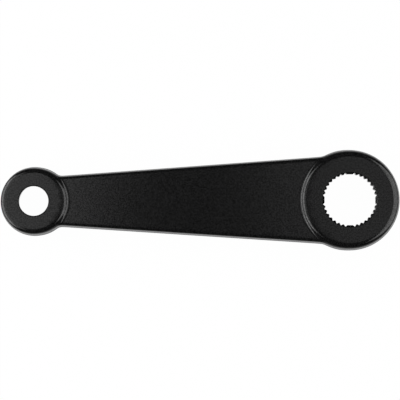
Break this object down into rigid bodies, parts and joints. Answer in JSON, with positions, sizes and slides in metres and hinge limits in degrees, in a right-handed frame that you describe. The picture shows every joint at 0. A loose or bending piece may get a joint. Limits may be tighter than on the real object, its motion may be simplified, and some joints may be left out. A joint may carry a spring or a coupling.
{
  "type": "pitman arm",
  "caption": "Drop-forged steering arm in satin black: a tapered serrated bore in the large eye, a ball-stud taper in the small eye, and a flat tapered shank between them.",
  "frame": {"origin": "under the middle of the arm's length, on the plane of the two lower eye faces, which the arm rests on", "axes": "+X from the ball-stud eye to the splined eye, +Y across the arm, +Z along both bores, out of the upper faces"},
  "size_m": [0.2316, 0.0584, 0.024],
  "materials": {
    "black_paint": "satin"
  },
  "bodies": {
    "root": {"pitman_arm": "black_paint"}
  },
  "joints": []
}
